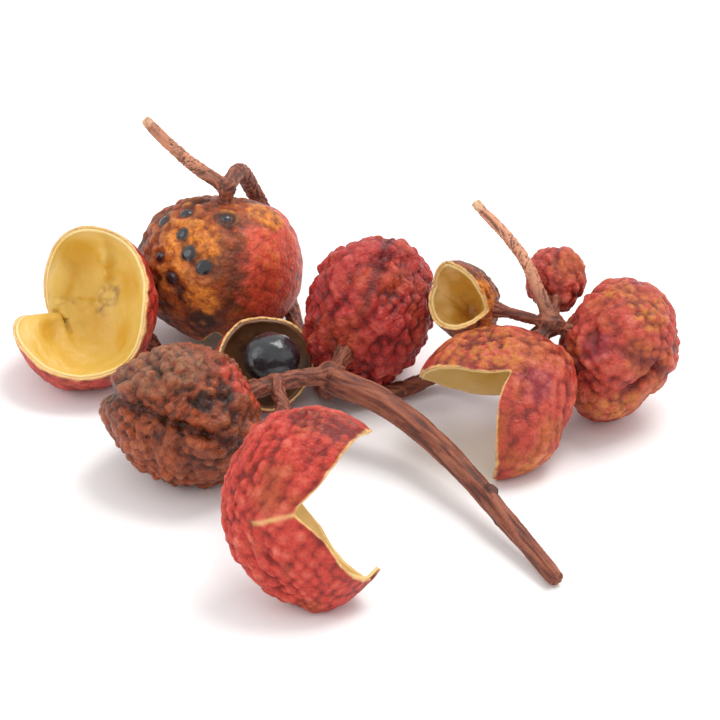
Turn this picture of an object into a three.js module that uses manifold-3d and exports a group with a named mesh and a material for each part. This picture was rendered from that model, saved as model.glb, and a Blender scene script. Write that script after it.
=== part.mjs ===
// A sprig of dried Sichuan peppercorn lying on a table, in millimetres, +Z up, +X right and +Y away.
// A forked twig carries split and closed husks, each a warty skin with a pale inner lining.
import * as THREE from "three";
import { ConvexHull } from "three/addons/math/ConvexHull.js";
import { mergeVertices } from "three/addons/utils/BufferGeometryUtils.js";
import Module from "manifold-3d";

const wasm = await Module();
wasm.setup();

// Driving dimensions
const SKIN_WALL = 0.42;
const LINING_WALL = 0.24;
const LINING_GAP = 0.07; // clear space between a skin and its lining
const JOIN_GAP = 0.12; // clear space between a pedicel's end and the husk it carries
const TWIG_ROOT_RADIUS = 0.56;
const TWIG_CUT_RADIUS = 0.33;
const TINE_RADIUS = 0.34;
const NECK_RADIUS = 0.3;
const SPENT_RADIUS = 0.24;
const FLARE = 1.5; // how much a pedicel widens where it meets a husk
const LINING_SEGMENTS = 20;
const LINING_RINGS = 7;
const RESTING_PLANE = 0;
const RIM_POWER = 0.3; // how a valve's rim rises from the notch: lower is steeper at first
const RIM_ROUNDING = 0.004; // keeps the bottom of a notch from being infinitely sharp
const NOTCH_CROWDING = 0.2; // how far the shell's columns are drawn together at the notches

// Colours of the parts, as the finish of each mesh
const FINISH = {
  plum: [0x6e2430, 0.62],
  red: [0xb23a2c, 0.6],
  rust: [0x8f3d1e, 0.55],
  dark: [0x3f1d14, 0.5],
  lining: [0xe6cf7e, 0.5],
  twig: [0x6b3a2a, 0.75],
  seed: [0x14151a, 0.25],
};

const finish = (name) => {
  const [color, roughness] = FINISH[name];
  return new THREE.MeshStandardMaterial({ color, roughness, metalness: 0 });
};

// Each fruit is a follicle. Its own frame has the base at -Z, the mouth at +Z and the two valves at -X and +X.
// tips and notches are angles in degrees from the base to the rim: at the two valves (+X, -X) and between
// them (+Y, -Y). Each valve swings by its gape, in degrees, about the level of the notches. Where a husk has
// its own powers, one for each valve, they stand in for RIM_POWER.
const FRUITS = {
  plum_berry: {
    centre: [-0.25, 15.0, 2.95],
    mouth: [0.3, 0.55, 0.8],
    valves: [1, -0.2, -0.2],
    radii: [2.5, 2.85, 3.1],
    swell: 0.05,
    phase: 0.4,
    wart: 0.13,
    warts: 110,
    groove: 0.1,
    finish: "plum",
  },
  dark_berry: {
    centre: [-7.45, 7.6, 2.75],
    mouth: [-0.35, -0.8, 0.45],
    valves: [0.3, 0.35, 0.85],
    radii: [2.65, 3.2, 2.8],
    swell: 0.07,
    phase: 2.3,
    wart: 0.14,
    warts: 110,
    groove: 0.3,
    finish: "dark",
  },
  split_husk: {
    centre: [-2.42, -0.62, 3.75],
    mouth: [0.98, 0.11, 0],
    valves: [-0.17, 0.41, 0.84],
    radii: [3.9, 2.15, 3.5],
    swell: 0.04,
    phase: 1.1,
    wart: 0.11,
    tips: [140, 144],
    notches: [76, 86],
    powers: [0.42, 0.41],
    gapes: [6, 13],
    rings: 10,
    segments: 28,
    finish: "red",
  },
  open_husk: {
    centre: [-11.56, 15.26, 3.1],
    mouth: [0.1, -0.63, 0.82],
    valves: [0.29, 0.53, 0.83],
    radii: [3.03, 2.9, 2.9],
    swell: 0.05,
    phase: 3.0,
    wart: 0.1,
    tips: [113, 109],
    notches: [26, 125],
    powers: [0.96, 0.12],
    gapes: [4, 10],
    rings: 9,
    segments: 28,
    finish: "red",
  },
  pitted_husk: {
    centre: [-6.2, 18.2, 3.05],
    mouth: [0.08, -0.16, -1],
    valves: [1, -0.1, 0.08],
    radii: [3.3, 2.85, 3.15],
    swell: 0.05,
    phase: 4.2,
    wart: 0.16,
    tips: [163, 163],
    notches: [124, 124],
    gapes: [3, 3],
    rings: 10,
    segments: 26,
    finish: "rust",
  },
  seed_husk: {
    centre: [-4.33, 12.93, 1.9],
    mouth: [0.35, -0.62, 0.7],
    valves: [1, 0.4, 0],
    radii: [2.0, 1.95, 1.95],
    swell: 0.05,
    phase: 5.5,
    wart: 0.1,
    tips: [94, 97],
    notches: [84, 84],
    gapes: [8, 8],
    rings: 7,
    segments: 22,
    finish: "plum",
  },
  star_right: {
    centre: [9.65, 12.3, 2.9],
    mouth: [0.85, -0.25, -0.35],
    valves: [0.3, 0.5, 0.8],
    radii: [2.95, 2.4, 2.25],
    swell: 0.06,
    phase: 0.9,
    wart: 0.11,
    warts: 86,
    groove: 0.26,
    finish: "red",
  },
  star_back: {
    centre: [7.2, 14.3, 4.95],
    mouth: [0.1, 0.85, 0.5],
    valves: [1, 0, 0],
    radii: [1.15, 1.2, 1.35],
    swell: 0.05,
    phase: 1.9,
    wart: 0.1,
    warts: 44,
    groove: 0.08,
    finish: "red",
  },
  star_front: {
    centre: [4.83, 9.5, 2.4],
    mouth: [-0.88, -0.52, -0.46],
    valves: [0.66, -0.61, -0.49],
    radii: [2.8, 1.95, 3.2],
    swell: 0.04,
    phase: 2.8,
    wart: 0.1,
    tips: [148, 135],
    notches: [77, 66],
    powers: [0.12, 0.26],
    gapes: [17, 12],
    rings: 10,
    segments: 24,
    finish: "red",
  },
  star_left: {
    centre: [3.5, 13.45, 4.45],
    mouth: [-0.39, -0.32, 0.77],
    valves: [0.14, 0.26, 0.85],
    radii: [1.42, 1.42, 1.95],
    swell: 0.04,
    phase: 3.7,
    wart: 0.1,
    tips: [152, 96],
    notches: [99, 91],
    powers: [0.3, 0.3],
    gapes: [2, 7],
    rings: 8,
    segments: 22,
    finish: "rust",
  },
};

const SEED = { centre: [-4.09, 12.51, 2.37], radii: [1.16, 1.06, 1.02] };

// The twig's centreline from its cut end to the fork, and the places where it divides
const TWIG_LINE = [
  [7.05, -0.55, 0.38],
  [6.1, 1.25, 0.62],
  [4.85, 3.4, 0.98],
  [3.9, 5.1, 1.25],
  [2.1, 7.7, 1.75],
  [0.3, 9.5, 2.2],
  [-1.6, 10.6, 2.5],
];
const FORK = [-1.7, 10.9, 2.5];
const LEFT_NODE = [-3.9, 9.95, 2.75];
const TOP_NODE = [-5.9, 18.6, 6.6];
const HUB = [7.0, 12.0, 4.25];
const SPENT_TIPS = { top: [-9.2, 20.2, 8.8], hub: [4.0, 15.3, 7.9] };
const BACK_WAY = [
  [-1.95, 12.9, 0.6],
  [-2.4, 15.0, 0.5],
  [-3.3, 18.4, 0.75],
  [-3.9, 21.2, 2.6],
  [-4.9, 21.7, 4.6],
  [-5.4, 20.6, 6.15],
];
const HUB_WAY = [
  [-0.9, 12.3, 0.8],
  [1.1, 13.2, 0.45],
  [3.2, 14.3, 0.85],
  [5.6, 13.2, 2.3],
];
const SPLIT_WAY = [
  [-3.6, 7.2, 2.9],
  [-4.6, 3.6, 3.2],
];
const CUP_WAY = [
  [-4.9, 10.4, 2.3],
  [-6.4, 11.1, 1.4],
  [-8.6, 13.2, 0.55],
  [-9.0, 15.9, 0.85],
];
const BUD_SCARS = [
  { at: [4.55, 4.25, 1.36], radius: 0.34 },
  { at: [4.95, 3.1, 0.72], radius: 0.3 },
];

// Small seeded random numbers, the same on every run
function seededRandom(seed) {
  let state = Math.floor(seed * 7919) + 17;
  return () => {
    state = (state * 1103515245 + 12345) % 2147483648;
    return state / 2147483648;
  };
}

const smooth = (low, high, x) => {
  const t = Math.min(1, Math.max(0, (x - low) / (high - low)));
  return t * t * (3 - 2 * t);
};

// The uneven swelling of a dried husk, as a share of its radius, in the direction d
function swelling(d, phase) {
  const broad = Math.sin(3.1 * d.x + phase) * Math.cos(2.7 * d.y - 1.3 * phase);
  const fine = 0.5 * Math.sin(4.3 * d.z + 2.1 * phase + 2 * d.x);
  return broad + fine;
}

// The rotation that turns a fruit's own frame to the way it lies
function orientation({ mouth, valves }) {
  const z = new THREE.Vector3(...mouth).normalize();
  const x = new THREE.Vector3(...valves);
  x.addScaledVector(z, -x.dot(z)).normalize();
  const y = new THREE.Vector3().crossVectors(z, x);
  return new THREE.Quaternion().setFromRotationMatrix(new THREE.Matrix4().makeBasis(x, y, z));
}

// How far a fruit's surface is from its centre in the direction d of its own frame
function surfaceRadius(fruit, d) {
  const [rx, ry, rz] = fruit.radii;
  const plain = 1 / Math.hypot(d.x / rx, d.y / ry, d.z / rz);
  return plain * (1 + fruit.swell * swelling(d, fruit.phase));
}

// A geometry from points and triangles, turned if its faces point inwards
function geometryOf(points, triangles) {
  const volume = triangles.reduce(
    (sum, [a, b, c]) => sum + points[a].dot(new THREE.Vector3().crossVectors(points[b], points[c])),
    0,
  );
  const facing = volume > 0 ? triangles : triangles.map(([a, b, c]) => [a, c, b]);
  const geometry = new THREE.BufferGeometry();
  geometry.setAttribute(
    "position",
    new THREE.Float32BufferAttribute(points.flatMap((p) => p.toArray()), 3),
  );
  geometry.setIndex(facing.flat());
  return geometry;
}

function solidOf(geometry) {
  const bare = geometry.clone();
  for (const name of ["normal", "uv"]) bare.deleteAttribute(name);
  const merged = mergeVertices(bare, 1e-4);
  return new wasm.Manifold(
    new wasm.Mesh({
      numProp: 3,
      vertProperties: merged.attributes.position.array,
      triVerts: new Uint32Array(merged.index.array),
    }),
  );
}

function geometryFrom(solid) {
  const mesh = solid.getMesh();
  const geometry = new THREE.BufferGeometry();
  geometry.setAttribute("position", new THREE.BufferAttribute(mesh.vertProperties, 3));
  geometry.setIndex(new THREE.BufferAttribute(mesh.triVerts, 1));
  geometry.computeVertexNormals();
  return geometry;
}

// Closed husks: a pebbled skin. The hull of evenly spread points gives one wart a point.
function spreadDirections(count, random) {
  const golden = Math.PI * (3 - Math.sqrt(5));
  const looseness = 0.35 / Math.sqrt(count);
  return Array.from({ length: count }, (_, i) => {
    const z = 1 - (2 * i + 1) / count;
    const ring = Math.sqrt(1 - z * z);
    const nudge = () => looseness * (2 * random() - 1);
    return new THREE.Vector3(
      ring * Math.cos(golden * i) + nudge(),
      ring * Math.sin(golden * i) + nudge(),
      z + nudge(),
    ).normalize();
  });
}

function closedHusk(fruit) {
  const spread = spreadDirections(fruit.warts, seededRandom(fruit.phase + 1));
  const hull = new ConvexHull().setFromPoints(spread);
  const points = [];
  const indexOf = new Map();
  const grooved = (d) =>
    fruit.groove * Math.exp(-((d.x / 0.14) ** 2)) * smooth(-0.5, 0.3, d.z);
  const vertex = (direction, height) => {
    const d = direction.clone().normalize();
    const key = d.toArray().map((v) => v.toFixed(5)).join();
    if (!indexOf.has(key)) {
      const baseFade = smooth(-1, -0.75, d.z);
      const lift = height * fruit.wart * baseFade - grooved(d);
      indexOf.set(key, points.length);
      points.push(d.clone().multiplyScalar(surfaceRadius(fruit, d) + lift));
    }
    return indexOf.get(key);
  };
  const triangles = hull.faces.flatMap((face) => {
    const corners = [0, 1, 2].map((i) => face.getEdge(i).head().point);
    const middle = new THREE.Vector3();
    corners.forEach((c) => middle.add(c));
    const centre = vertex(middle, -0.8);
    return corners.flatMap((corner, i) => {
      const next = corners[(i + 1) % 3];
      const halfway = vertex(corner.clone().add(next), -0.35);
      const a = vertex(corner, 1);
      const b = vertex(next, 1);
      return [[a, halfway, centre], [halfway, b, centre]];
    });
  });
  return geometryOf(points, triangles);
}

// Split husks: a shell that is a cup with two valves. share runs from the base, 0, to the rim, 1.
function rimAngle(fruit, turn) {
  const valve = Math.cos(turn) > 0 ? 0 : 1;
  const notch = fruit.notches[Math.sin(turn) > 0 ? 0 : 1];
  const power = fruit.powers?.[valve] ?? RIM_POWER;
  const grown = (x) => (x + RIM_ROUNDING) ** power - RIM_ROUNDING ** power;
  const rise = grown(Math.cos(turn) ** 2) / grown(1);
  return THREE.MathUtils.degToRad(notch + (fruit.tips[valve] - notch) * rise);
}

function cupPoint(fruit, share, evenTurn) {
  const turn = evenTurn + NOTCH_CROWDING * Math.sin(2 * evenTurn);
  const angle = share * rimAngle(fruit, turn);
  const d = new THREE.Vector3(
    Math.sin(angle) * Math.cos(turn),
    Math.sin(angle) * Math.sin(turn),
    -Math.cos(angle),
  );
  const [rx, ry, rz] = fruit.radii;
  const p = d.clone().multiply(new THREE.Vector3(rx, ry, rz));
  p.multiplyScalar(1 + fruit.swell * swelling(d, fruit.phase));
  const side = Math.cos(turn) / Math.hypot(Math.cos(turn), 0.3);
  const notch = THREE.MathUtils.degToRad(Math.min(...fruit.notches));
  const opened = smooth(0.85 * notch, 0.85 * notch + 0.9, angle);
  const gape = fruit.gapes[side > 0 ? 0 : 1];
  const swing = THREE.MathUtils.degToRad(gape) * opened * side;
  const hinge = -rz * Math.cos(notch);
  const height = p.z - hinge;
  return new THREE.Vector3(
    p.x * Math.cos(swing) + height * Math.sin(swing),
    p.y,
    height * Math.cos(swing) - p.x * Math.sin(swing) + hinge,
  );
}

function cupNormal(fruit, share, turn) {
  if (share === 0) return new THREE.Vector3(0, 0, -1);
  const step = 1e-3;
  const along = cupPoint(fruit, share + step, turn).sub(cupPoint(fruit, share - step, turn));
  const around = cupPoint(fruit, share, turn + step).sub(cupPoint(fruit, share, turn - step));
  return around.cross(along).normalize();
}

function cupShell(fruit, { rings, segments, outside, inside, wart }) {
  const points = [];
  const layer = (depth, relief) => {
    const start = points.length;
    for (let i = 0; i <= rings; i++) {
      const share = i / rings;
      for (let j = 0; j < (i === 0 ? 1 : segments); j++) {
        const turn = (2 * Math.PI * j) / segments;
        const bump = relief * ((i + j) % 2 ? 1 : -0.4) * smooth(0, 0.35, share);
        const normal = cupNormal(fruit, share, turn);
        points.push(cupPoint(fruit, share, turn).addScaledVector(normal, bump - depth));
      }
    }
    return (i, j) => (i === 0 ? start : start + 1 + (i - 1) * segments + (j % segments));
  };
  const outer = layer(outside, wart);
  const inner = layer(inside, 0);
  const triangles = [];
  const quad = (a, b, c, d) => triangles.push([a, b, c], [a, c, d]);
  for (let j = 0; j < segments; j++) {
    triangles.push([outer(0, 0), outer(1, j + 1), outer(1, j)]);
    triangles.push([inner(0, 0), inner(1, j), inner(1, j + 1)]);
    for (let i = 1; i < rings; i++) {
      quad(outer(i, j), outer(i, j + 1), outer(i + 1, j + 1), outer(i + 1, j));
      quad(inner(i, j + 1), inner(i, j), inner(i + 1, j), inner(i + 1, j + 1));
    }
    quad(outer(rings, j), outer(rings, j + 1), inner(rings, j + 1), inner(rings, j));
  }
  return geometryOf(points, triangles);
}

const skinShell = (fruit) =>
  cupShell(fruit, { ...fruit, outside: 0, inside: SKIN_WALL });

const liningShell = (fruit) =>
  cupShell(fruit, {
    rings: LINING_RINGS,
    segments: LINING_SEGMENTS,
    outside: SKIN_WALL + LINING_GAP,
    inside: SKIN_WALL + LINING_GAP + LINING_WALL,
    wart: 0,
  });

// Sets a fruit's mesh where it lies, with a small flat spot where it meets the table
function placed(name, geometry, fruit, finishName) {
  const turn = orientation(fruit);
  const up = new THREE.Vector3(0, 0, 1).applyQuaternion(turn.clone().invert());
  const height = fruit.centre[2] - RESTING_PLANE;
  const rested = solidOf(geometry).trimByPlane(up.toArray(), -height);
  const mesh = new THREE.Mesh(geometryFrom(rested), finish(finishName));
  mesh.name = name;
  mesh.quaternion.copy(turn);
  mesh.position.set(...fruit.centre);
  return mesh;
}

// The twig: tapered tubes along curves, joined in one body
function taperedTube(line, radiusAt, steps, sides) {
  const curve = new THREE.CatmullRomCurve3(line.map((p) => new THREE.Vector3(...p)));
  const frames = curve.computeFrenetFrames(steps, false);
  const points = [];
  for (let i = 0; i <= steps; i++) {
    const at = curve.getPointAt(i / steps);
    for (let j = 0; j < sides; j++) {
      const turn = (2 * Math.PI * j) / sides;
      const radius = radiusAt(i / steps);
      points.push(
        at
          .clone()
          .addScaledVector(frames.normals[i], radius * Math.cos(turn))
          .addScaledVector(frames.binormals[i], radius * Math.sin(turn)),
      );
    }
  }
  const first = points.push(curve.getPointAt(0)) - 1;
  const last = points.push(curve.getPointAt(1)) - 1;
  const triangles = [];
  for (let j = 0; j < sides; j++) {
    const k = (j + 1) % sides;
    triangles.push([first, j, k], [last, steps * sides + k, steps * sides + j]);
    for (let i = 0; i < steps; i++) {
      const a = i * sides;
      const b = a + sides;
      triangles.push([a + j, b + j, b + k], [a + j, b + k, a + k]);
    }
  }
  return solidOf(geometryOf(points, triangles));
}

const knob = (at, radius) =>
  solidOf(new THREE.IcosahedronGeometry(radius, 1).translate(...at));

// Where a pedicel that comes from a place stops, just clear of the fruit's skin
function joinPoint(fruit, from) {
  const centre = new THREE.Vector3(...fruit.centre);
  const outward = new THREE.Vector3(...from).sub(centre).normalize();
  const own = outward.clone().applyQuaternion(orientation(fruit).invert());
  const reach = surfaceRadius(fruit, own) + fruit.wart + JOIN_GAP;
  return centre.addScaledVector(outward, reach).toArray();
}

// A pedicel from a node, through points on its way, to the fruit it carries
function pedicel(fruitName, from, by = [], radius = NECK_RADIUS) {
  const fruit = FRUITS[fruitName];
  const end = joinPoint(fruit, by.length ? by[by.length - 1] : from);
  const flared = (t) => radius * (1 + (FLARE - 1) * smooth(0.7, 1, t));
  const steps = 4 + 3 * by.length;
  return taperedTube([from, ...by, end], flared, steps, 7);
}

function spentPedicel(from, tip, bend) {
  const middle = from.map((v, i) => (v + tip[i]) / 2 + bend[i]);
  const worn = (t) => SPENT_RADIUS * (1.25 - 0.35 * smooth(0, 0.6, t));
  return taperedTube([from, middle, tip], worn, 6, 7);
}

function twig() {
  const swollen = (t) => {
    const taper = TWIG_CUT_RADIUS + (TWIG_ROOT_RADIUS - TWIG_CUT_RADIUS) * t ** 1.5;
    return taper + 0.07 * Math.exp(-(((t - 0.3) / 0.06) ** 2));
  };
  const tine = () => TINE_RADIUS;
  const pieces = [
    taperedTube(TWIG_LINE, swollen, 16, 9),
    knob(FORK, 0.66),
    knob(LEFT_NODE, 0.46),
    knob(TOP_NODE, 0.42),
    knob(HUB, 0.58),
    ...BUD_SCARS.map((scar) => knob(scar.at, scar.radius)),
    taperedTube([FORK, [-2.9, 10.5, 2.7], LEFT_NODE], tine, 4, 7),
    taperedTube([FORK, ...BACK_WAY, TOP_NODE], tine, 18, 7),
    taperedTube([FORK, ...HUB_WAY, HUB], tine, 14, 7),
    pedicel("plum_berry", FORK),
    pedicel("seed_husk", BACK_WAY[1], [[-3.6, 15.7, 0.45]]),
    pedicel("dark_berry", LEFT_NODE),
    pedicel("split_husk", LEFT_NODE, SPLIT_WAY),
    pedicel("open_husk", LEFT_NODE, CUP_WAY),
    pedicel("pitted_husk", TOP_NODE),
    pedicel("star_right", HUB),
    pedicel("star_back", HUB),
    pedicel("star_front", HUB),
    pedicel("star_left", HUB),
    spentPedicel(TOP_NODE, SPENT_TIPS.top, [0.1, 0, -0.35]),
    spentPedicel(HUB, SPENT_TIPS.hub, [0.45, 0.1, 0.3]),
  ];
  const joined = pieces.reduce((whole, piece) => whole.add(piece));
  const mesh = new THREE.Mesh(geometryFrom(joined), finish("twig"));
  mesh.name = "twig";
  return mesh;
}

function seed() {
  const geometry = new THREE.IcosahedronGeometry(1, 3).scale(...SEED.radii);
  const mesh = new THREE.Mesh(geometry, finish("seed"));
  mesh.name = "seed";
  mesh.position.set(...SEED.centre);
  return mesh;
}

const sprig = new THREE.Group();
sprig.add(twig(), seed());
for (const [name, fruit] of Object.entries(FRUITS)) {
  if (fruit.warts) {
    sprig.add(placed(name, closedHusk(fruit), fruit, fruit.finish));
  } else {
    sprig.add(placed(`${name}_skin`, skinShell(fruit), fruit, fruit.finish));
    sprig.add(placed(`${name}_lining`, liningShell(fruit), fruit, "lining"));
  }
}

// The origin is the middle of the sprig's footprint, on the table
const bounds = new THREE.Box3().setFromObject(sprig, true);
const middle = bounds.getCenter(new THREE.Vector3());
sprig.position.set(-middle.x, -middle.y, -bounds.min.z);

const part = new THREE.Group();
part.add(sprig);

export default part;
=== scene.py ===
"""A dried Sichuan peppercorn sprig on a pale table.

A forked twig carries warty husks, some closed and some split open to show a pale yellow lining. The husks are
shaped in millimetres about their own centres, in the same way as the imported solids, and then laid in place.
"""
import logging
import math
from dataclasses import dataclass, field
from enum import Enum

import bpy
import numpy as np
from mathutils import Matrix, Vector, noise
from mathutils.kdtree import KDTree

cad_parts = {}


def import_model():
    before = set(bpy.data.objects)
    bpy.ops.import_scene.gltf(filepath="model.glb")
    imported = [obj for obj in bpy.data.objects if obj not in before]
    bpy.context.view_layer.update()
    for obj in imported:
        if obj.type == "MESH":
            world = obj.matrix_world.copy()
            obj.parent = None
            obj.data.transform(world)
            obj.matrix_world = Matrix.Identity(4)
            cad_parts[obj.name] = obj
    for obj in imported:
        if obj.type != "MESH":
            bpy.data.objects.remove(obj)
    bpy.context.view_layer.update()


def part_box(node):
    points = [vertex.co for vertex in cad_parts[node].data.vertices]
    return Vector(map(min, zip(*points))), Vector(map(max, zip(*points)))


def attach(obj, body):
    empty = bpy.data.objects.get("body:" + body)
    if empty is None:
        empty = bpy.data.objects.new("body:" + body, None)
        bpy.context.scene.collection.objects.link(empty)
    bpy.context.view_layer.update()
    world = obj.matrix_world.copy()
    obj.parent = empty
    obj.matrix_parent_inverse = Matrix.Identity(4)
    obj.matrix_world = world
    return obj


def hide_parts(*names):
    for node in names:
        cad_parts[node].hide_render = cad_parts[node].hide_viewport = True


logging.basicConfig(level=logging.INFO, format="%(message)s")
log = logging.getLogger("sprig")

MM = 0.001  # the scene is in metres, the sizes below are in millimetres
Point = tuple[float, float, float]
Colour = tuple[float, float, float]

SKIN_WALL = 0.42
THINNEST_WALL = 0.05
THINNING_START = 0.5  # where the covers start to thin, as a share of the way from the base to the rim
LINING_GAP = 0.03
LINING_DETAIL = 0.8  # the lining's columns and rows against the skin's
RIM_POWER = 0.3
RIM_ROUNDING = 0.004
NOTCH_CROWDING = 0.2
DEEPEST_DENT = 0.24
TEAR_DEPTH = 0.12
STALK_ROOT = 0.12  # how deep a stalk's end sits in the skin of its husk
STALK_THICKNESS = 0.6
BARK_STEPS = 120  # places along each stalk that the bark's grain is measured from
PATCH_CORE = 0.3  # the share of a round patch's size that has its full strength
GOLDEN_TURN = math.pi * (3 - math.sqrt(5))
BATCH = 8192  # directions looked at in one go, to spare memory


# ---- Small numbers and arrays


def smooth(low: float, high: float, x: np.ndarray) -> np.ndarray:
    """Rise smoothly from 0 at low to 1 at high.

    Args:
        low: Where the rise starts.
        high: Where it ends.
        x: The values.

    Returns:
        The risen values, from 0 to 1.
    """
    t = np.clip((x - low) / (high - low), 0.0, 1.0)
    return t * t * (3 - 2 * t)


def unit(v: np.ndarray) -> np.ndarray:
    """Scale every row of v to length 1."""
    return v / np.maximum(np.linalg.norm(v, axis=-1, keepdims=True), 1e-12)


def cloudiness(points: np.ndarray, scale: float, seed: float, octaves: int = 3) -> np.ndarray:
    """Sample soft noise at every point.

    Args:
        points: The places, one a row.
        scale: The size of one cloud, in the points' unit.
        seed: Shifts the noise, so that no two pieces look alike.
        octaves: How many finer layers are added.

    Returns:
        The noise, from about -1 to 1.
    """
    shift = Vector((seed * 13.7, seed * 5.1, seed * 9.3))
    return np.array([noise.fractal(Vector(p) / scale + shift, 0.8, 2.1, octaves) for p in points])


def swelling(d: np.ndarray, phase: float) -> np.ndarray:
    """Give the uneven swelling of a dried husk as a share of its radius, for each direction d."""
    broad = np.sin(3.1 * d[:, 0] + phase) * np.cos(2.7 * d[:, 1] - 1.3 * phase)
    return broad + 0.5 * np.sin(4.3 * d[:, 2] + 2.1 * phase + 2 * d[:, 0])


def warts(d: np.ndarray, count: int, seed: int, spread: float = 0.25) -> np.ndarray:
    """Raise a rounded wart at each of many evenly spread places on a ball.

    Args:
        d: The directions to find the height in, one a row.
        count: How many warts the ball has.
        seed: Picks their places and sizes.
        spread: How much the warts differ in size.

    Returns:
        The height for each direction, 0 between warts and 1 on top of the largest.
    """
    rng = np.random.default_rng(seed)
    i = np.arange(count)
    z = 1 - (2 * i + 1) / count
    turn = i * GOLDEN_TURN
    ring = np.sqrt(1 - z * z)
    tops = np.stack([ring * np.cos(turn), ring * np.sin(turn), z], axis=1)
    tops = unit(tops + rng.normal(0, 0.42 / math.sqrt(count), (count, 3)))
    size = 2.15 / math.sqrt(count) * (1 + spread * rng.uniform(-1, 1, count))
    tallness = rng.uniform(0.5, 1.0, count)
    height = np.empty(len(d))
    for start in range(0, len(d), BATCH):
        part = d[start:start + BATCH]
        apart = np.maximum(2 - 2 * part @ tops.T, 0) / size**2
        height[start:start + BATCH] = (np.clip(1 - apart, 0, 1) ** 0.75 * tallness).max(axis=1)
    return height


@dataclass(frozen=True)
class Mark:
    """A round patch on a husk, about a direction in the husk's own frame, with its size on a ball of radius 1."""

    place: Point
    size: float
    strength: float = 1.0


@dataclass(frozen=True)
class Crease:
    """A long fold on a husk, along directions in its own frame. A depth of less than 0 stands proud."""

    way: tuple[Point, ...]
    width: float
    depth: float


def marked(d: np.ndarray, marks: tuple[Mark, ...]) -> np.ndarray:
    """Add up round patches, each at its strength in the middle and fading out at its size.

    Args:
        d: The directions to find them in, one a row.
        marks: The patches.

    Returns:
        Their sum for each direction.
    """
    total = np.zeros(len(d))
    for mark in marks:
        apart = np.linalg.norm(d - unit(np.array(mark.place)), axis=1)
        total += mark.strength * smooth(mark.size, PATCH_CORE * mark.size, apart)
    return total


def creased(d: np.ndarray, creases: tuple[Crease, ...]) -> np.ndarray:
    """Add up folds.

    Args:
        d: The directions to find them in, one a row.
        creases: The folds.

    Returns:
        Their depth for each direction, in millimetres.
    """
    total = np.zeros(len(d))
    for crease in creases:
        line = unit(np.array(crease.way))
        apart = np.full(len(d), np.inf)
        for a, b in zip(line, line[1:]):
            along = np.clip((d - a) @ (b - a) / ((b - a) @ (b - a)), 0, 1)
            apart = np.minimum(apart, np.linalg.norm(d - a - along[:, None] * (b - a), axis=1))
        total += crease.depth * np.exp(-((apart / crease.width) ** 2))
    return total


# ---- Modelling steps


def deselect() -> None:
    """Leave nothing selected, so that an operator acts only on the piece that it is meant for."""
    if bpy.context.object and bpy.context.object.mode != "OBJECT":
        bpy.ops.object.mode_set(mode="OBJECT")
    bpy.ops.object.select_all(action="DESELECT")


def pick(piece: bpy.types.Object) -> None:
    """Select one piece and make it the active one."""
    deselect()
    piece.select_set(True)
    bpy.context.view_layer.objects.active = piece


def coordinates(piece: bpy.types.Object) -> np.ndarray:
    """Read a piece's vertices, one a row."""
    flat = np.empty(len(piece.data.vertices) * 3)
    piece.data.vertices.foreach_get("co", flat)
    return flat.reshape(-1, 3)


def move_to(piece: bpy.types.Object, points: np.ndarray) -> None:
    """Put a piece's vertices at the given points."""
    piece.data.vertices.foreach_set("co", points.ravel())
    piece.data.update()


def cut_away(piece: bpy.types.Object, chosen: np.ndarray) -> None:
    """Remove the chosen vertices of a piece, and the faces on them.

    Args:
        piece: The piece.
        chosen: Whether each vertex goes.
    """
    pick(piece)
    bpy.ops.object.mode_set(mode="EDIT")
    bpy.ops.mesh.select_mode(type="VERT")
    bpy.ops.mesh.select_all(action="DESELECT")
    bpy.ops.object.mode_set(mode="OBJECT")
    piece.data.vertices.foreach_set("select", chosen)
    bpy.ops.object.mode_set(mode="EDIT")
    bpy.ops.mesh.delete(type="VERT")
    bpy.ops.object.mode_set(mode="OBJECT")


def note(piece: bpy.types.Object, name: str, values: np.ndarray) -> None:
    """Keep a number for every vertex of a piece, which its finish reads by name."""
    layer = piece.data.attributes.new(name, "FLOAT", "POINT")
    layer.data.foreach_set("value", np.asarray(values, dtype=np.float32))


def weigh(piece: bpy.types.Object, name: str, values: np.ndarray) -> None:
    """Keep a weight from 0 to 1 for every vertex of a piece, which its modifiers read by name."""
    group = piece.vertex_groups.new(name=name)
    for index, value in enumerate(values.tolist()):
        group.add([index], value, "REPLACE")


def finish_modifier(piece: bpy.types.Object, kind: str, **settings: object) -> None:
    """Add one modifier to a piece, set it and apply it.

    Args:
        piece: The piece.
        kind: The modifier's type.
        **settings: Its settings by name.
    """
    pick(piece)
    modifier = piece.modifiers.new(kind.title(), kind)
    for name, value in settings.items():
        setattr(modifier, name, value)
    bpy.ops.object.modifier_apply(modifier=modifier.name)


def push(piece: bpy.types.Object, distance: np.ndarray) -> None:
    """Move a piece's surface along its normals, all of it outwards or all of it inwards.

    Args:
        piece: The piece.
        distance: How far each vertex goes, in millimetres; less than 0 goes inwards.
    """
    furthest = float(distance[np.abs(distance).argmax()])
    weigh(piece, "lift", distance / furthest)
    finish_modifier(piece, "DISPLACE", strength=furthest, mid_level=0.0, vertex_group="lift")
    piece.vertex_groups.clear()


def raise_relief(piece: bpy.types.Object, height: np.ndarray) -> None:
    """Give a smooth piece a relief that goes both ways: the whole surface sinks first, and then rises unevenly."""
    push(piece, np.full(len(height), height.min()))
    push(piece, height - height.min())


def thicken(piece: bpy.types.Object, wall: np.ndarray) -> np.ndarray:
    """Turn an open surface into a wall, inwards from where it is.

    Args:
        piece: The surface.
        wall: The wall's thickness at each vertex, in millimetres.

    Returns:
        Whether each vertex is on the new, inner side. The first ones are the old surface's, in their order.
    """
    weigh(piece, "wall", wall / wall.max())
    finish_modifier(
        piece, "SOLIDIFY", thickness=float(wall.max()), offset=-1.0, vertex_group="wall", use_even_offset=False
    )
    piece.vertex_groups.clear()
    return np.arange(len(piece.data.vertices)) >= len(wall)


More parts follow.
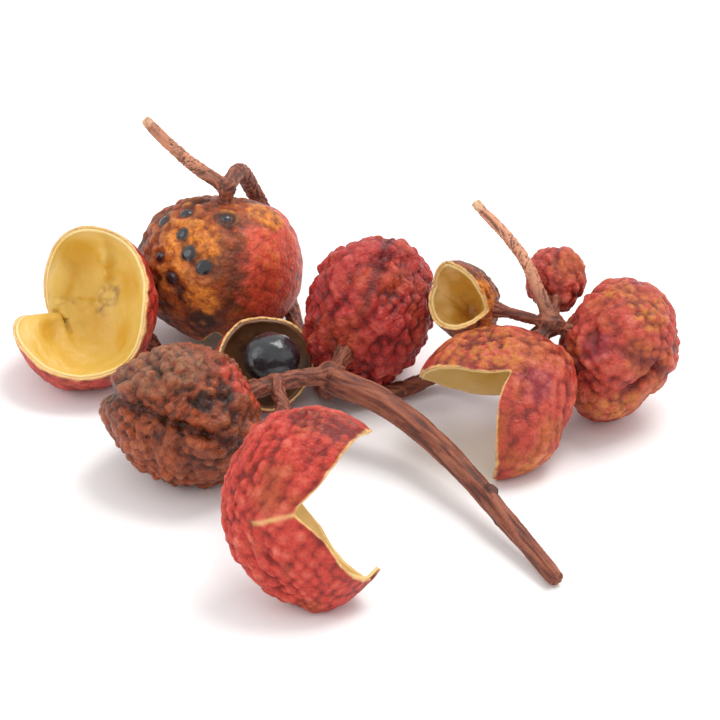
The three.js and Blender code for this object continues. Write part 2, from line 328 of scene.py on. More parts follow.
def lay_in_place(piece: bpy.types.Object, place: Matrix) -> None:
    """Move a piece that was shaped in millimetres to its place, in metres, and rest it on the table.

    Args:
        piece: The piece.
        place: Its turn and place, in millimetres.
    """
    pick(piece)
    piece.matrix_world = Matrix.Scale(MM, 4) @ place
    bpy.ops.object.transform_apply(location=True, rotation=True, scale=True)
    points = coordinates(piece)
    points[:, 2] = np.maximum(points[:, 2], 0)
    move_to(piece, points)
    bpy.ops.object.shade_smooth()
    deselect()


# ---- Shader maths


class Value:
    """A shader socket that takes part in Python arithmetic."""

    def __init__(self, tree: bpy.types.NodeTree, socket: bpy.types.NodeSocket) -> None:
        """Wrap a socket of a node tree."""
        self.tree = tree
        self.socket = socket

    def maths(self, operation: str, *others: "Value | float", swap: bool = False) -> "Value":
        """Add a Math node on this value and others.

        Args:
            operation: The Math node's operation.
            *others: Its other inputs.
            swap: Whether this value goes second instead of first.

        Returns:
            The node's result.
        """
        made = self.tree.nodes.new("ShaderNodeMath")
        made.operation = operation
        sources = [*others, self] if swap else [self, *others]
        for socket, source in zip(made.inputs, sources):
            if isinstance(source, Value):
                self.tree.links.new(source.socket, socket)
            else:
                socket.default_value = source
        return Value(self.tree, made.outputs[0])

    def __add__(self, other: "Value | float") -> "Value":
        """Add."""
        return self.maths("ADD", other)

    __radd__ = __add__

    def __mul__(self, other: "Value | float") -> "Value":
        """Multiply."""
        return self.maths("MULTIPLY", other)

    __rmul__ = __mul__

    def __sub__(self, other: "Value | float") -> "Value":
        """Take away."""
        return self.maths("SUBTRACT", other)

    def __rsub__(self, other: float) -> "Value":
        """Take away from a plain number."""
        return self.maths("SUBTRACT", other, swap=True)

    def __truediv__(self, other: "Value | float") -> "Value":
        """Divide."""
        return self.maths("DIVIDE", other)

    def between(self, low: float, high: float) -> "Value":
        """Rise from 0 at low to 1 at high, and stay within them."""
        risen = (self - low) / (high - low)
        return risen.maths("MINIMUM", 1.0).maths("MAXIMUM", 0.0)


class Finish:
    """A material under construction, with one Principled shader."""

    def __init__(self, name: str) -> None:
        """Start a material of the given name."""
        self.material = bpy.data.materials.new(name)
        self.material.use_nodes = True
        self.tree = self.material.node_tree
        self.tree.nodes.clear()
        self.shader = self.tree.nodes.new("ShaderNodeBsdfPrincipled")
        output = self.tree.nodes.new("ShaderNodeOutputMaterial")
        self.tree.links.new(self.shader.outputs[0], output.inputs["Surface"])
        self.place = self.node("ShaderNodeTexCoord", {}, {}, "Object")

    def node(
        self, kind: str, settings: dict[str, object], inputs: dict[str | int, object], result: str | int = 0
    ) -> Value:
        """Add one node.

        Args:
            kind: The node's type.
            settings: Its own settings, set first.
            inputs: Values or links for its sockets, by name or number.
            result: The output to use.

        Returns:
            That output.
        """
        made = self.tree.nodes.new(kind)
        for name, value in settings.items():
            setattr(made, name, value)
        for name, value in inputs.items():
            if isinstance(value, Value):
                self.tree.links.new(value.socket, made.inputs[name])
            else:
                made.inputs[name].default_value = value
        return Value(self.tree, made.outputs[result])

    def attribute(self, name: str) -> Value:
        """Read a number that the piece keeps for every vertex."""
        return self.node("ShaderNodeAttribute", {"attribute_name": name}, {}, "Fac")

    def clouds(self, size_mm: float, detail: float = 2.0, shift: float = 0.0) -> Value:
        """Give soft noise with clouds of about the given size."""
        moved = self.node(
            "ShaderNodeVectorMath", {"operation": "ADD"}, {0: self.place, 1: (shift, shift * 0.7, shift * 1.3)}
        )
        return self.node(
            "ShaderNodeTexNoise", {}, {"Vector": moved, "Scale": 1 / (size_mm * MM), "Detail": detail}, "Fac"
        )

    def pebbles(self, size_mm: float) -> Value:
        """Give the distance from the nearest of many scattered points, with pebbles of about the given size."""
        return self.node(
            "ShaderNodeTexVoronoi", {}, {"Vector": self.place, "Scale": 1 / (size_mm * MM)}, "Distance"
        )

    def mixed(self, share: Value, first: "Colour | Value", second: "Colour | Value") -> Value:
        """Mix two colours.

        Args:
            share: How much of the second colour shows.
            first: The colour at share 0.
            second: The colour at share 1.

        Returns:
            The mixed colour.
        """
        low, high = ((*c, 1.0) if isinstance(c, tuple) else c for c in (first, second))
        return self.node("ShaderNodeMix", {"data_type": "RGBA"}, {0: share, 6: low, 7: high}, 2)

    def bump(self, height: Value, depth_mm: float, strength: float) -> None:
        """Give the surface a fine relief that is too small to model."""
        normal = self.node(
            "ShaderNodeBump", {}, {"Height": height, "Distance": depth_mm * MM, "Strength": strength}, "Normal"
        )
        self.tree.links.new(normal.socket, self.shader.inputs["Normal"])

    def drive(self, socket: str, value: Value) -> None:
        """Link a value that changes over the surface to one of the shader's sockets."""
        self.tree.links.new(value.socket, self.shader.inputs[socket])

    def fix(self, **values: float) -> None:
        """Set sockets that are the same all over, by name with _ for a space."""
        for name, value in values.items():
            self.shader.inputs[name.replace("_", " ")].default_value = value


# ---- Finishes


@dataclass(frozen=True)
class SkinFinish:
    """The dry, warty outside of a husk."""

    name: str
    slot: str
    # Dark tone of dark patches and specks, also used as painted shade in valleys, creases, grooves and pits.
    deep: Colour
    body: Colour
    # Colour of the crests: partly their own paler tone and partly painted highlight.
    crest_and_highlight: Colour
    patch: Colour
    patch_share: float = 0.4
    patch_size: float = 1.6
    blush: Colour = (0.3, 0.03, 0.04)
    accent: Colour = (0.50, 0.13, 0.025)
    edge: Colour = (0.85, 0.52, 0.20)
    roughness: float = 0.42

    def material(self) -> bpy.types.Material:
        """Make the material: painted shade in hollows, painted highlight on paler crests, patches and glossy glands."""
        f = Finish(self.name)
        relief, gland = f.attribute("relief"), f.attribute("gland")
        cut = 0.5 + 0.5 * (0.5 - self.patch_share)
        patchy = f.clouds(self.patch_size, 3.0, 0.013).between(cut - 0.07, cut + 0.07)
        speckle = f.clouds(0.16, 3.0)
        torn = (f.clouds(0.5, 4.0, 0.037) - 0.5) * 1.3
        colour = f.mixed(patchy, self.body, self.patch)
        colour = f.mixed((f.attribute("blush") + torn).between(0.3, 0.65), colour, self.blush)
        accent = f.mixed(f.clouds(0.3, 3.0, 0.043).between(0.44, 0.60) * 0.85, self.accent, self.body)
        colour = f.mixed((f.attribute("accent") + torn).between(0.3, 0.7), colour, accent)
        colour = f.mixed((f.attribute("dark") + torn).between(0.3, 0.65) * 0.85, colour, self.deep)
        # Crests take a paler colour, partly the skin's own tone and partly painted highlight; on the pitted husk it
        # also gives the orange lips round its pits.
        crest_and_highlight = relief.between(0.55, 1.0) * (0.35 + f.clouds(0.9, 2.0, 0.051).between(0.35, 0.7) * 0.65)
        colour = f.mixed(crest_and_highlight * 0.85, colour, self.crest_and_highlight)
        # Painted shade in the valleys between warts and in creases, grooves and pits, where the relief share is low.
        colour = f.mixed((1 - relief.between(0.04, 0.5)) * 0.92, colour, self.deep)
        colour = f.mixed(speckle.between(0.45, 0.75) * 0.45, colour, self.deep)
        colour = f.mixed(f.attribute("edge") * (1 - f.attribute("dark")), colour, self.edge)
        colour = f.mixed(gland, colour, (0.016, 0.014, 0.016))
        f.drive("Base Color", colour)
        rough = self.roughness + (speckle - 0.5) * 0.35
        f.drive("Roughness", rough * (1 - gland * 0.72))
        f.fix(Coat_Roughness=0.25, Specular_IOR_Level=0.3)
        f.drive("Coat Weight", 0.05 + gland * 0.7)
        creases = (f.clouds(0.34, 3.0, 0.061) - 0.5).maths("ABSOLUTE") * 2.5
        fine = f.clouds(0.11, 4.0) * 0.8 + f.pebbles(0.17) * 0.6 + creases
        f.bump(fine * (1 - gland * 0.9) * (1 - f.attribute("blush") * 0.55), 0.07, 0.9)
        return f.material


@dataclass(frozen=True)
class LiningFinish:
    """The smooth, pale inside of a husk."""

    name: str = "pale_lining"
    slot: str = "husk_lining"
    pale: Colour = (0.71, 0.46, 0.085)
    # Ochre, the colour of the painted shade in the hollow and its dents.
    ochre: Colour = (0.64, 0.34, 0.018)
    cream: Colour = (0.86, 0.64, 0.28)
    brown: Colour = (0.24, 0.11, 0.02)

    def material(self) -> bpy.types.Material:
        """Make the material: cream at the rim, ochre painted shade in the hollow and its dents, olive-brown specks."""
        f = Finish(self.name)
        depth = f.attribute("depth")
        hollow_shade = f.clouds(1.1, 3.0, 0.021)
        # Ochre painted shade deeper in the cup, broken into patches.
        colour = f.mixed(depth.between(0.4, 1.1) * hollow_shade.between(0.3, 0.65), self.pale, self.ochre)
        colour = f.mixed((1 - depth).between(0.72, 1.0) * 0.8, colour, self.cream)
        # Painted shade in the lining's dents, where they are marked.
        colour = f.mixed(f.attribute("hollow_shade") * (0.55 + hollow_shade * 0.6), colour, self.ochre)
        specks = f.clouds(0.34, 4.0, 0.031).between(0.44, 0.66) * f.attribute("specks")
        colour = f.mixed(specks * 0.75, colour, self.brown)
        f.drive("Base Color", colour)
        f.drive("Roughness", 0.34 + hollow_shade * 0.2)
        f.fix(Coat_Weight=0.1, Coat_Roughness=0.3, Subsurface_Weight=0.12, Subsurface_Scale=0.0004)
        f.bump(f.clouds(0.35, 3.0) + f.clouds(0.1, 2.0) * 0.25, 0.06, 0.5)
        return f.material


@dataclass(frozen=True)
class TwigFinish:
    """Dry, finely ridged bark, paler on the spent stalks and on cut ends."""

    name: str = "ridged_bark"
    slot: str = "twig_bark"
    bark: Colour = (0.19, 0.041, 0.017)
    deep: Colour = (0.045, 0.014, 0.009)
    ridge: Colour = (0.36, 0.115, 0.055)
    spent: Colour = (0.68, 0.30, 0.175)
    cut: Colour = (0.85, 0.64, 0.38)

    def material(self) -> bpy.types.Material:
        """Make the material from the grain, paleness and scars kept on the twig."""
        f = Finish(self.name)
        grain, pale = f.attribute("grain"), f.attribute("pale")
        colour = f.mixed(grain.between(0.45, 0.9) * 0.7, self.bark, self.ridge)
        colour = f.mixed(pale, colour, self.spent)
        colour = f.mixed((1 - grain.between(0.1, 0.5)) * 0.75, colour, self.deep)
        colour = f.mixed(f.attribute("scar"), colour, self.deep)
        colour = f.mixed(f.attribute("tip"), colour, self.cut)
        blotch = f.clouds(0.8, 3.0, 0.017).between(0.5, 0.75)
        f.drive("Base Color", f.mixed(blotch * 0.35, colour, self.deep))
        f.drive("Roughness", 0.5 + f.clouds(0.2, 2.0) * 0.2)
        f.bump(grain + f.clouds(0.08, 3.0) * 0.5, 0.05, 0.6)
        return f.material


@dataclass(frozen=True)
class SeedFinish:
    """A hard, glossy, blue-black seed coat with faint pits."""

    name: str = "glossy_seed"
    slot: str = "seed_coat"

    def material(self) -> bpy.types.Material:
        """Make the material."""
        f = Finish(self.name)
        f.drive("Base Color", f.mixed(f.clouds(0.7, 3.0).between(0.4, 0.7), (0.006, 0.007, 0.011), (0.03, 0.032, 0.04)))
        f.drive("Roughness", 0.16 + f.clouds(0.3, 3.0) * 0.22)
        f.fix(Coat_Weight=0.5, Coat_Roughness=0.08)
        f.bump(f.pebbles(0.2) + f.clouds(0.5, 2.0), 0.03, 0.45)
        return f.material


def dress(
    piece: bpy.types.Object, node: str, finish: SkinFinish | LiningFinish | TwigFinish | SeedFinish
) -> None:
    """Give a finished piece its material and tie it to the frame.

    Args:
        piece: The piece.
        node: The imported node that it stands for.
        finish: Its finish.
    """
    piece.data.materials.append(bpy.data.materials.get(finish.name) or finish.material())
    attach(piece, "root")
    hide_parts(node)
    log.info("%s: %d faces", piece.name, len(piece.data.polygons))


# ---- Husks


class Cover(Enum):
    """One of the two covers of a split husk."""

    SKIN = "skin"
    LINING = "lining"


@dataclass
class Husk:
    """One follicle. Its own frame has the base at -Z, the mouth at +Z and its two valves at +X and -X."""

    name: str
    centre: Point
    mouth: Point
    valves: Point
    radii: Point
    phase: float
    skin: SkinFinish
    swell: float = 0.05
    wart_count: int = 420
    wart_height: float = 0.15
    wrinkle_height: float = 0.22
    wrinkle_size: float = 0.55
    lumps: tuple[Mark, ...] = ()
    creases: tuple[Crease, ...] = ()
    crumples: tuple[Mark, ...] = ()
    dark: tuple[Mark, ...] = ()
    blushing: tuple[Mark, ...] = ()
    accents: tuple[Mark, ...] = ()
    segments: int = 180
    rings: int = 110

    def place(self, shift: Vector) -> Matrix:
        """Give the husk's turn and place in millimetres.

        Args:
            shift: From the sprig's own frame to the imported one.

        Returns:
            The matrix.
        """
        z = Vector(self.mouth).normalized()
        x = Vector(self.valves)
        x = (x - z * x.dot(z)).normalized()
        turn = Matrix((x, z.cross(x), z)).transposed().to_4x4()
        return Matrix.Translation(Vector(self.centre) + shift) @ turn

    def ball(self, d: np.ndarray) -> np.ndarray:
        """Give the surface point in each direction d, before any relief."""
        plain = 1 / np.linalg.norm(d / np.array(self.radii), axis=1)
        return d * (plain * (1 + self.swell * swelling(d, self.phase)))[:, None]

    def relief(self, d: np.ndarray) -> tuple[np.ndarray, np.ndarray]:
        """Shape the skin's fine surface.

        Args:
            d: The directions to find it in, one a row.

        Returns:
            The height in millimetres, and the same as a share from 0 to 1, from which the finish paints highlight and
            shade.
        """
        bumpy = warts(d, self.wart_count, int(self.phase * 100))
        folds = cloudiness(d * np.array([1, 1, 0.55]), self.wrinkle_size, self.phase, 3)
        folds = np.clip(np.abs(folds) * 2.2, 0, 1)
        sunk = creased(d, self.creases)
        if self.crumples:
            sunk = sunk + marked(d, self.crumples) * np.abs(cloudiness(d, 0.2, self.phase + 5, 3))
        height = self.wart_height * bumpy + 0.5 * self.wrinkle_height * folds
        height = height - height.mean() + marked(d, self.lumps) - sunk
        # Creases and crumples lower the share further, as painted shade in them.
        shade = 0.68 * bumpy + 0.32 * folds - 1.6 * np.clip(sunk, 0, None)
        return height, np.clip(shade, 0, 1)

    def glands(self, d: np.ndarray) -> np.ndarray:
        """Mark glossy dark glands, from 0 to 1. A plain husk has none."""
        return np.zeros(len(d))

    def mark_skin(self, piece: bpy.types.Object, d: np.ndarray, shade: np.ndarray, edge: np.ndarray) -> None:
        """Keep the skin's marks for its finish.

        Args:
            piece: The piece.
            d: Its directions.
            shade: Its relief as a share from 0 to 1, which the finish paints as highlight and shade.
            edge: How near each vertex is to a torn edge, from 0 to 1.
        """
        marks = {
            "relief": shade,
            "gland": self.glands(d),
            "blush": marked(d, self.blushing),
            "dark": marked(d, self.dark),
            "accent": marked(d, self.accents),
            "edge": edge,
        }
        for name, values in marks.items():
            note(piece, name, np.clip(values, 0, 1))


@dataclass
class ClosedHusk(Husk):
    """A husk that hasn't split."""

    groove: float = 0.1

    def build(self, shift: Vector) -> None:
        """Model the husk from a ball and dress it.

        Args:
            shift: From the sprig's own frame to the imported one.
        """
        deselect()
        bpy.ops.mesh.primitive_uv_sphere_add(segments=self.segments, ring_count=self.rings, radius=1)
        piece = bpy.context.object
        piece.name = f"{self.name}_skin_looks"
        d = unit(coordinates(piece))
        move_to(piece, self.ball(d))
        height, shade = self.relief(d)
        groove = self.groove * np.exp(-((d[:, 0] / 0.1) ** 2)) * smooth(-0.6, 0.2, d[:, 2])
        # The seam's groove lowers the share, which paints shade along it.
        self.mark_skin(piece, d, shade * (1 - 0.8 * groove / self.groove), np.zeros(len(d)))
        raise_relief(piece, height - groove)
        lay_in_place(piece, self.place(shift))
        dress(piece, self.name, self.skin)


@dataclass
class SplitHusk(Husk):
    """A husk that has split into two valves, with a skin and a pale lining."""

    tips: tuple[float, float] = (150, 150)
    notches: tuple[float, float] = (90, 90)
    gapes: tuple[float, float] = (8, 8)
    powers: tuple[float, float] = (RIM_POWER, RIM_POWER)
    lining: LiningFinish = field(default_factory=LiningFinish)
    beak: float = 0.0
    ragged: float = 1.6
    lining_wall: float = 0.3
    rim_wall: float = 0.1
    lining_rim: float = 0.12
    tears: tuple[Crease, ...] = ()
    lining_lumps: tuple[Mark, ...] = ()
    lining_creases: tuple[Crease, ...] = ()
    # Dents of the lining that the finish paints with shade.
    hollow_shades: tuple[Mark, ...] = ()
    specks: tuple[Mark, ...] = ()

    def rim_angle(self, turn: np.ndarray) -> np.ndarray:
        """Give the angle from the base to the rim at each turn round the mouth's axis."""
        tip = np.where(np.cos(turn) > 0, *self.tips)
        notch = np.where(np.sin(turn) > 0, *self.notches)
        power = np.where(np.cos(turn) > 0, *self.powers)
        start = RIM_ROUNDING**power
        rise = ((np.cos(turn) ** 2 + RIM_ROUNDING) ** power - start) / ((1 + RIM_ROUNDING) ** power - start)
        waves = cloudiness(np.stack([np.cos(turn), np.sin(turn), 0 * turn], axis=1), 0.3, self.phase + 3, 3)
        beak = self.beak * np.exp(-(((np.pi - np.abs(turn)) / 0.13) ** 2))
        return np.radians(notch + (tip - notch) * rise + self.ragged * waves + beak)

    def cup(self, share: np.ndarray, even_turn: np.ndarray) -> tuple[np.ndarray, np.ndarray]:
        """Give the skin's smooth outside.

        Args:
            share: From the base, 0, to the rim, 1.
            even_turn: The turn round the mouth's axis.

        Returns:
            The points, and the directions on the closed ball that they came from.
        """
        turn = even_turn + NOTCH_CROWDING * np.sin(2 * even_turn)
        angle = share * self.rim_angle(turn)
        d = np.stack([np.sin(angle) * np.cos(turn), np.sin(angle) * np.sin(turn), -np.cos(angle)], axis=1)
        p = d * np.array(self.radii) * (1 + self.swell * swelling(d, self.phase))[:, None]
        side = np.cos(turn) / np.hypot(np.cos(turn), 0.3)
        notch = math.radians(min(self.notches))
        gape = np.radians(np.where(side > 0, *self.gapes))
        swing = gape * smooth(0.85 * notch, 0.85 * notch + 0.9, angle) * side
        hinge = -self.radii[2] * math.cos(notch)
        rise = p[:, 2] - hinge
        x = p[:, 0] * np.cos(swing) + rise * np.sin(swing)
        z = rise * np.cos(swing) - p[:, 0] * np.sin(swing) + hinge
        return np.stack([x, p[:, 1], z], axis=1), d

    def shell(self, cover: Cover) -> tuple[bpy.types.Object, np.ndarray, np.ndarray]:
        """Model an open cup from a ball whose top is cut off, and shape it as the husk's outside.

        Args:
            cover: The cover that it will become.

        Returns:
            The piece, its share from base to rim, and its directions on the closed ball.
        """
        detail = 1.0 if cover is Cover.SKIN else LINING_DETAIL
        segments, rings = int(self.segments * detail), int(self.rings * detail)
        deselect()
        bpy.ops.mesh.primitive_uv_sphere_add(segments=segments, ring_count=rings + 1, radius=1)
        piece = bpy.context.object
        piece.name = f"{self.name}_{cover.value}_looks"
        cut_away(piece, coordinates(piece)[:, 2] > math.cos(0.5 * math.pi / (rings + 1)))
        ball = coordinates(piece)
        angle = np.arccos(np.clip(-ball[:, 2], -1, 1))
        share = np.round(angle / (math.pi / (rings + 1))) / rings
        turn = np.arctan2(ball[:, 1], ball[:, 0])
        points, d = self.cup(share, turn)
        move_to(piece, points)
        return piece, share, d

    def build_skin(self, shift: Vector) -> None:
        """Model the warty outside and dress it.

        Args:
            shift: From the sprig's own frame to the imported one.
        """
        piece, share, d = self.shell(Cover.SKIN)
        rim = smooth(0.86, 1.0, share)
        height, shade = self.relief(d)
        torn = np.clip(creased(d, self.tears), 0, 1)
        height = np.where(height < 0, -DEEPEST_DENT * np.tanh(-height / DEEPEST_DENT), height) - TEAR_DEPTH * torn
        fade = 1 - 0.8 * smooth(0.45, 0.95, share)
        sink = -height.min() * fade
        frayed = share + 0.012 * cloudiness(d, 0.12, self.phase + 11, 2)
        # Towards the rim the share is lowered a little, which paints the band by the rim a little darker, as shade.
        self.mark_skin(piece, d, shade * (1 - 0.25 * rim), np.maximum(smooth(0.982, 1.0, frayed), 0.9 * torn))
        push(piece, -sink)
        inner = thicken(piece, np.clip(self.skin_wall(share) - sink, THINNEST_WALL, None))
        push(piece, np.where(inner, 0, np.tile(height * fade + sink, 2)))
        lay_in_place(piece, self.place(shift))
        dress(piece, f"{self.name}_{Cover.SKIN.value}", self.skin)

    def build_lining(self, shift: Vector) -> None:
        """Model the pale inside, with its hollows and ridges, and dress it.

        Args:
            shift: From the sprig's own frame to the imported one.
        """
        piece, share, d = self.shell(Cover.LINING)
        rim = smooth(THINNING_START, 1.0, share)
        folds = 0.06 * cloudiness(d, 0.5, self.phase + 7, 3)
        height = (folds + marked(d, self.lining_lumps) - creased(d, self.lining_creases)) * (1 - rim**3)
        sink = np.minimum(-height.min(), self.lining_wall - 0.08) * (1 - rim)
        soft = 0.25 * cloudiness(d, 0.6, self.phase + 9, 2)
        # The depth and the dents tell the finish where to paint shade; the specks are the lining's own.
        marks = {"depth": 1 - share + soft, "hollow_shade": marked(d, self.hollow_shades), "specks": marked(d, self.specks)}
        for mark, values in marks.items():
            note(piece, mark, np.clip(values, 0, 1))
        push(piece, -(self.skin_wall(share) + LINING_GAP * (1 - 0.7 * rim)))
        wall = self.lining_wall + (self.lining_rim - self.lining_wall) * rim
        inner = thicken(piece, wall - sink)
        push(piece, np.where(inner, np.tile(np.clip(height + sink, 0, None), 2), 0))
        lay_in_place(piece, self.place(shift))
        dress(piece, f"{self.name}_{Cover.LINING.value}", self.lining)

    def skin_wall(self, share: np.ndarray) -> np.ndarray:
        """Give the skin's thickness at each share of the way from the base to the rim."""
        return SKIN_WALL + (self.rim_wall - SKIN_WALL) * smooth(THINNING_START, 1.0, share)

    def build(self, shift: Vector) -> None:
        """Model both covers.

        Args:
            shift: From the sprig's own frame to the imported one.
        """
        self.build_skin(shift)
        self.build_lining(shift)


@dataclass
class PittedHusk(SplitHusk):
    """A nearly closed husk whose left valve is dark and rough, with large glossy glands."""

    gland_marks: tuple[Mark, ...] = ()

    def glands(self, d: np.ndarray) -> np.ndarray:
        """Mark the glossy glands of the left valve."""
        return smooth(0.35, 0.7, marked(d, self.gland_marks))

    def relief(self, d: np.ndarray) -> tuple[np.ndarray, np.ndarray]:
        """Add the glands' blisters, each in a shallow pit, to the skin's relief, and make the right valve smoother.

        Args:
            d: The directions to find it in, one a row.

        Returns:
            The height in millimetres, and the same as a share from 0 to 1, from which the finish paints highlight and
            shade.
        """
        height, shade = super().relief(d)
        left = smooth(0.12, -0.08, d[:, 0])
        blisters = marked(d, self.gland_marks)
        pits = np.clip(marked(d, tuple(Mark(mark.place, 1.5 * mark.size) for mark in self.gland_marks)), 0, 1)
        lips = np.clip(marked(d, tuple(Mark(mark.place, 2.2 * mark.size) for mark in self.gland_marks)), 0, 1)
        height = height * (0.4 + 0.6 * left) * (1 - 0.8 * pits) + 0.2 * blisters - 0.24 * pits + 0.14 * lips
        shade = shade * (0.6 + 0.4 * left) + 0.2 * (1 - left)
        # Pits lower the share, as painted shade in them; their lips raise it, which gives the lips their own orange.
        return height, np.clip(shade * (1 - 0.6 * pits) + 0.5 * lips * (1 - pits), 0, 1)


# ---- Seed


@dataclass
class Seed:
    """The glossy seed in the small husk behind the fork."""

    centre: Point = (-4.09, 12.51, 2.37)
    radii: Point = (1.16, 1.06, 1.02)

    def shift(self) -> Vector:
        """Give the way from the sprig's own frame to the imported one, in millimetres."""
        low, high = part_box("seed")
        return (low + high) / 2 / MM - Vector(self.centre)

    def build(self, shift: Vector) -> None:
        """Model the seed from a ball with faint flats and dress it.

        Args:
            shift: From the sprig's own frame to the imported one.
        """
        deselect()
        bpy.ops.mesh.primitive_uv_sphere_add(segments=72, ring_count=48, radius=1)
        piece = bpy.context.object
        piece.name = "seed_looks"
        d = unit(coordinates(piece))
        dents = 0.025 * cloudiness(d, 0.6, 2.0, 2)
        move_to(piece, d * np.array(self.radii) * (0.985 + dents)[:, None])
        lay_in_place(piece, Matrix.Translation(Vector(self.centre) + shift))
        dress(piece, "seed", SeedFinish())


# ---- Twig


@dataclass
class Stem:
    """One tapered stalk along a curve."""

    line: list[Point]
    start: float
    end: float
    flare: float = 0.0
    pale: float = 0.0
    cut: bool = False

    def samples(self, count: int) -> tuple[np.ndarray, np.ndarray]:
        """Walk along the stalk's curve.

        Args:
            count: How many places to give.

        Returns:
            The places, and the stalk's radius at each.
        """
        points = np.array(self.line, dtype=float)
        padded = np.vstack([2 * points[0] - points[1], points, 2 * points[-1] - points[-2]])
        spans = []
        for a, b, c, e in zip(padded, padded[1:], padded[2:], padded[3:]):
            knots = np.cumsum([0, *(max(np.linalg.norm(q - p), 1e-6) ** 0.5 for p, q in ((a, b), (b, c), (c, e)))])
            t = np.linspace(knots[1], knots[2], 24, endpoint=False)[:, None]
            first = ((knots[1] - t) * a + (t - knots[0]) * b) / (knots[1] - knots[0])
            second = ((knots[2] - t) * b + (t - knots[1]) * c) / (knots[2] - knots[1])
            third = ((knots[3] - t) * c + (t - knots[2]) * e) / (knots[3] - knots[2])
            low = ((knots[2] - t) * first + (t - knots[0]) * second) / (knots[2] - knots[0])
            high = ((knots[3] - t) * second + (t - knots[1]) * third) / (knots[3] - knots[1])
            spans.append(((knots[2] - t) * low + (t - knots[1]) * high) / (knots[2] - knots[1]))
        dense = np.vstack([*spans, points[-1:]])
        run = np.concatenate([[0], np.cumsum(np.linalg.norm(np.diff(dense, axis=0), axis=1))])
        share = np.linspace(0, 1, count)
        places = np.stack([np.interp(share * run[-1], run, dense[:, k]) for k in range(3)], axis=1)
        radius = self.start + (self.end - self.start) * share + self.flare * smooth(0.7, 1.0, share)
        return places, radius


@dataclass
class Twig:
    """The forked twig, with its thin stalks, spent stalks and bud scars, as one body."""

    stems: list[Stem]
    knobs: list[tuple[Point, float]]
    scars: list[tuple[Point, float]]
    voxel: float = 0.062

    def raw_stem(self, stem: Stem, shift: Vector) -> bpy.types.Object:
        """Model one stalk as a round tube along its curve.

        Args:
            stem: The stalk.
            shift: From the sprig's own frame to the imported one.

        Returns:
            The tube.
        """
        places, radius = stem.samples(60)
        curve = bpy.data.curves.new("stem", "CURVE")
        curve.dimensions = "3D"
        curve.bevel_depth = 1.0
        curve.bevel_resolution = 6
        curve.use_fill_caps = True
        spline = curve.splines.new("POLY")
        spline.points.add(len(places) - 1)
        for point, place, r in zip(spline.points, places, radius):
            point.co = (*(Vector(place) + shift), 1)
            point.radius = float(r)
        piece = bpy.data.objects.new("stem", curve)
        bpy.context.collection.objects.link(piece)
        pick(piece)
        bpy.ops.object.convert(target="MESH")
        return bpy.context.object

    def build(self, shift: Vector) -> None:
        """Model the twig from its tubes and knobs, fuse them, raise the bark's ridges and dress it.

        Args:
            shift: From the sprig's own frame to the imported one.
        """
        parts = [self.raw_stem(stem, shift) for stem in self.stems]
        for place, radius in [*self.knobs, *self.scars]:
            deselect()
            bpy.ops.mesh.primitive_ico_sphere_add(subdivisions=3, radius=radius, location=Vector(place) + shift)
            bpy.ops.object.transform_apply(location=True, rotation=True, scale=True)
            parts.append(bpy.context.object)
        deselect()
        for part in parts:
            part.select_set(True)
        bpy.context.view_layer.objects.active = parts[0]
        bpy.ops.object.join()
        piece = bpy.context.object
        piece.name = "twig_looks"
        finish_modifier(piece, "REMESH", mode="VOXEL", voxel_size=self.voxel, use_smooth_shade=True)
        finish_modifier(piece, "SMOOTH", factor=0.5, iterations=3)
        self.mark_bark(piece, shift)
        lay_in_place(piece, Matrix.Identity(4))
        dress(piece, "twig", TwigFinish())

    def mark_bark(self, piece: bpy.types.Object, shift: Vector) -> None:
        """Raise fine ridges along each stalk and keep the bark's marks for the finish.

        Args:
            piece: The fused twig.
            shift: From the sprig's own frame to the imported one.
        """
        walks = [stem.samples(BARK_STEPS) for stem in self.stems]
        tree = KDTree(sum(len(places) for places, _ in walks))
        owners = []
        for number, (places, _) in enumerate(walks):
            for step, place in enumerate(places):
                tree.insert(Vector(place) + shift, len(owners))
                owners.append((number, step))
        tree.balance()
        points = coordinates(piece)
        grain, pale, tip = (np.zeros(len(points)) for _ in range(3))
        for i, p in enumerate(points):
            _, index, _ = tree.find(Vector(p))
            number, step = owners[index]
            stem, places = self.stems[number], walks[number][0]
            ahead = Vector(places[min(step + 1, len(places) - 1)] - places[max(step - 1, 0)]).normalized()
            away = Vector(p) - Vector(places[step]) - shift
            along = away.dot(ahead)
            out = (away - ahead * along).normalized()
            share = step / (BARK_STEPS - 1)
            length = share * len(stem.line) * 1.6 + number * 7.3
            grain[i] = 0.5 + 0.9 * noise.fractal(out * 2.6 + ahead * (length * 0.7), 0.7, 2.2, 3)
            pale[i] = stem.pale * min(1.0, share * 2.2)
            if stem.cut and share == 1 and along > 0.02:
                tip[i] = 0.9
            elif stem.cut and share > 0.93:
                tip[i] = 0.45 * stem.pale
        scar = np.zeros(len(points))
        for place, radius in self.scars:
            apart = np.linalg.norm(points - np.array(Vector(place) + shift), axis=1)
            scar = np.maximum(scar, smooth(radius * 1.35, radius * 0.95, apart))
        for name, values in {"grain": grain, "pale": pale, "tip": tip, "scar": scar * 0.75}.items():
            note(piece, name, np.clip(values, 0, 1))
        raise_relief(piece, 0.07 * (np.clip(grain, 0, 1) - 0.5))


# ---- The sprig's own values

